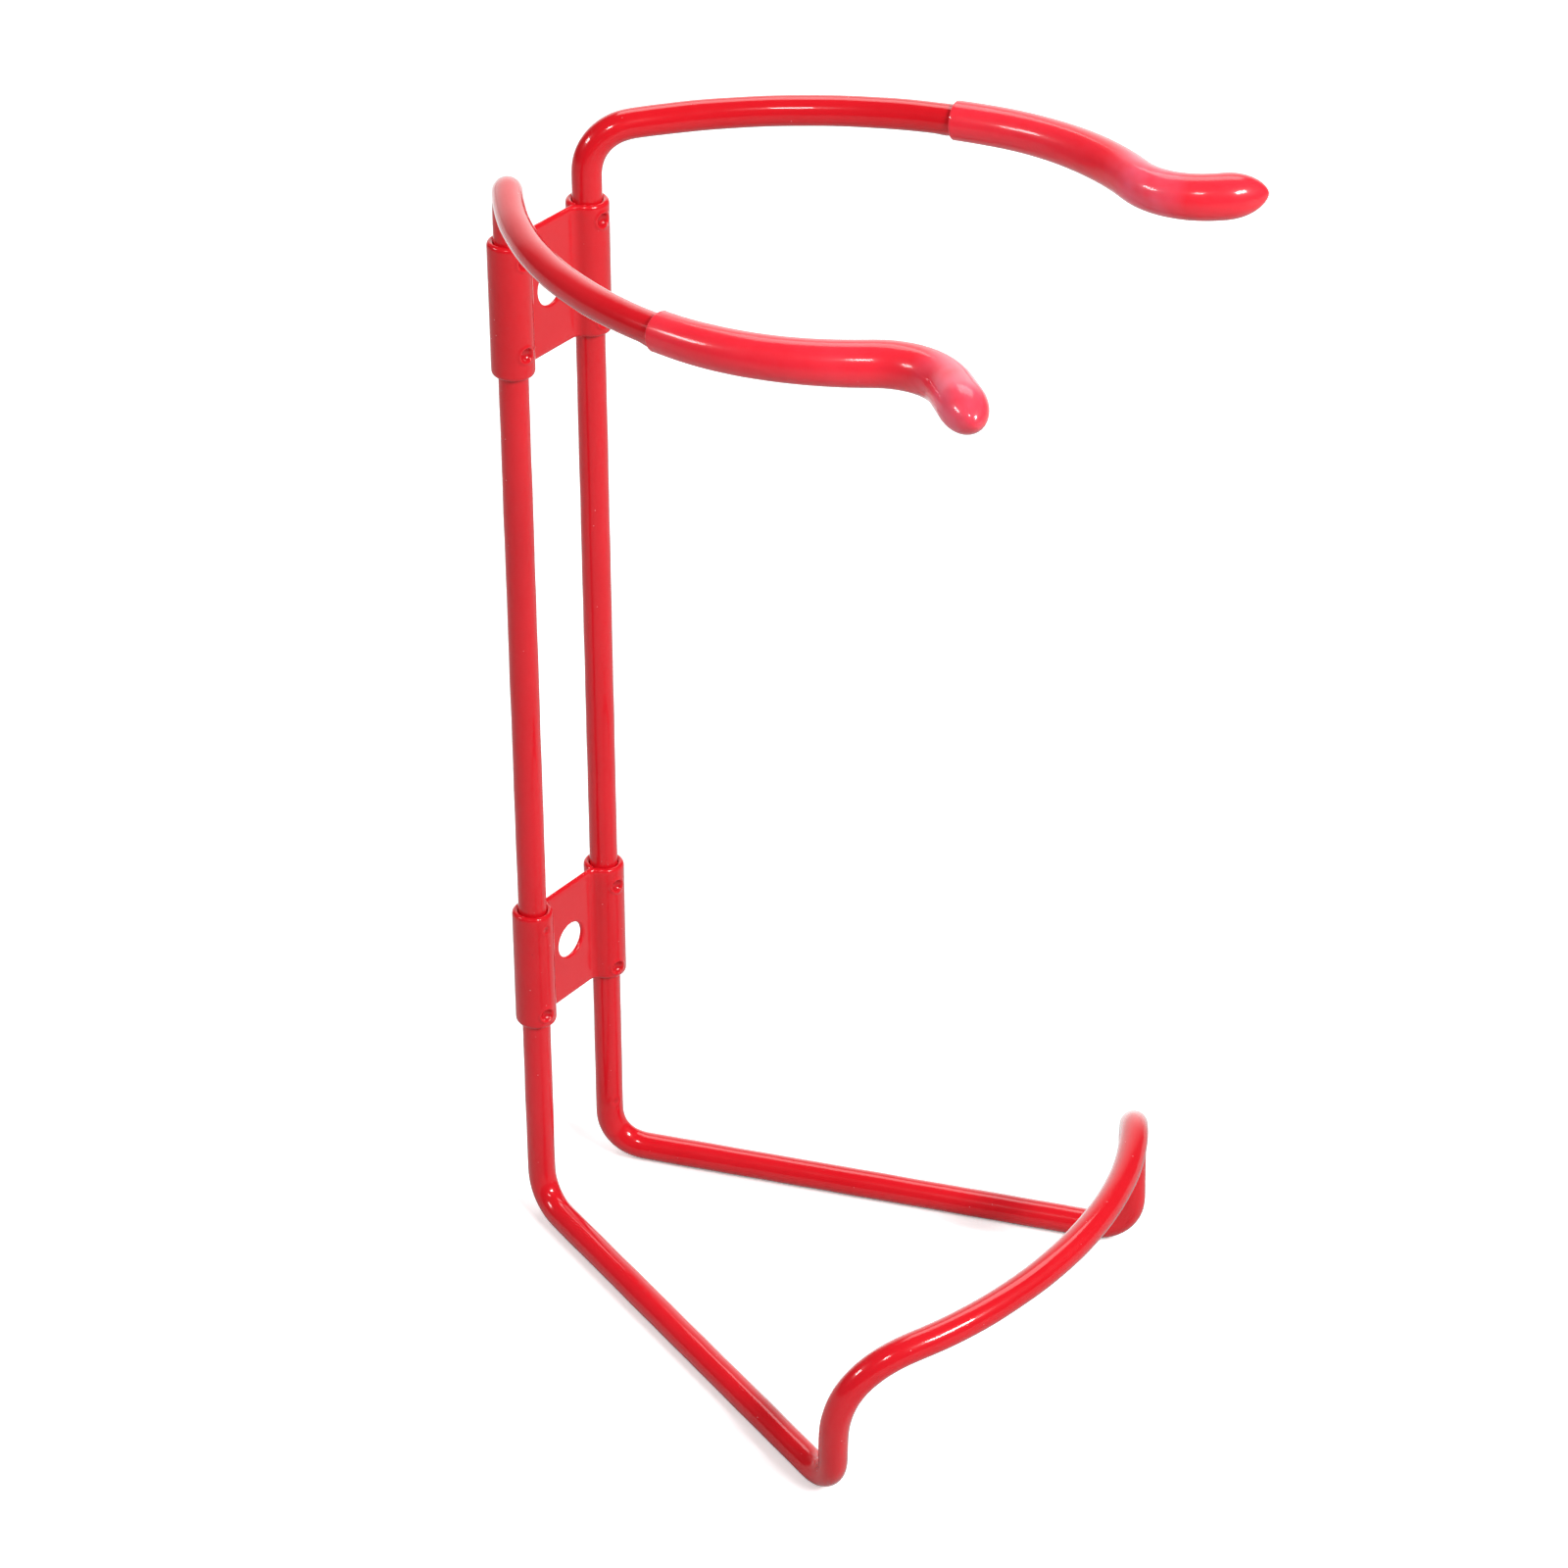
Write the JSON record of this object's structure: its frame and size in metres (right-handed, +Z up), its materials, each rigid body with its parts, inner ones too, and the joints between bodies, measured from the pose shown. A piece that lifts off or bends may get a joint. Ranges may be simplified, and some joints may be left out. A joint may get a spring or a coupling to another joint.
{
  "type": "fire extinguisher wall bracket",
  "caption": "Bent wire wall bracket that holds a small fire extinguisher upright between two springy horns above a wire tray.",
  "frame": {"origin": "bottom centre of the bracket's bounding box: midway between its sides and between its front and back, at the underside of the tray's arms", "axes": "+X to the right for someone facing the wall, +Y towards the wall, +Z up along the uprights"},
  "size_m": [0.1242, 0.151, 0.2875],
  "materials": {
    "frame_wire": "glossy red dip coat",
    "left_horn_wire": "glossy red dip coat",
    "right_horn_wire": "glossy red dip coat",
    "upper_strap": "glossy red dip coat",
    "lower_strap": "glossy red dip coat",
    "left_horn_sleeve": "soft satin red vinyl",
    "right_horn_sleeve": "soft satin red vinyl"
  },
  "bodies": {
    "frame": {"frame_wire": "frame_wire", "upper_strap": "upper_strap", "lower_strap": "lower_strap"},
    "left_horn": {"left_horn_wire": "left_horn_wire", "left_horn_sleeve": "left_horn_sleeve"},
    "right_horn": {"right_horn_wire": "right_horn_wire", "right_horn_sleeve": "right_horn_sleeve"}
  },
  "joints": [
    {"name": "left_horn_spring", "type": "hinge", "parent": "frame", "child": "left_horn", "pos_m": [-0.0136, 0.0707, 0.24355], "axis": [0, 0, -1], "range_deg": [0, 6], "stiffness_Nm_per_rad": 180},
    {"name": "right_horn_spring", "type": "hinge", "parent": "frame", "child": "right_horn", "pos_m": [0.0136, 0.0707, 0.24355], "axis": [0, 0, 1], "range_deg": [0, 6], "stiffness_Nm_per_rad": 180}
  ]
}
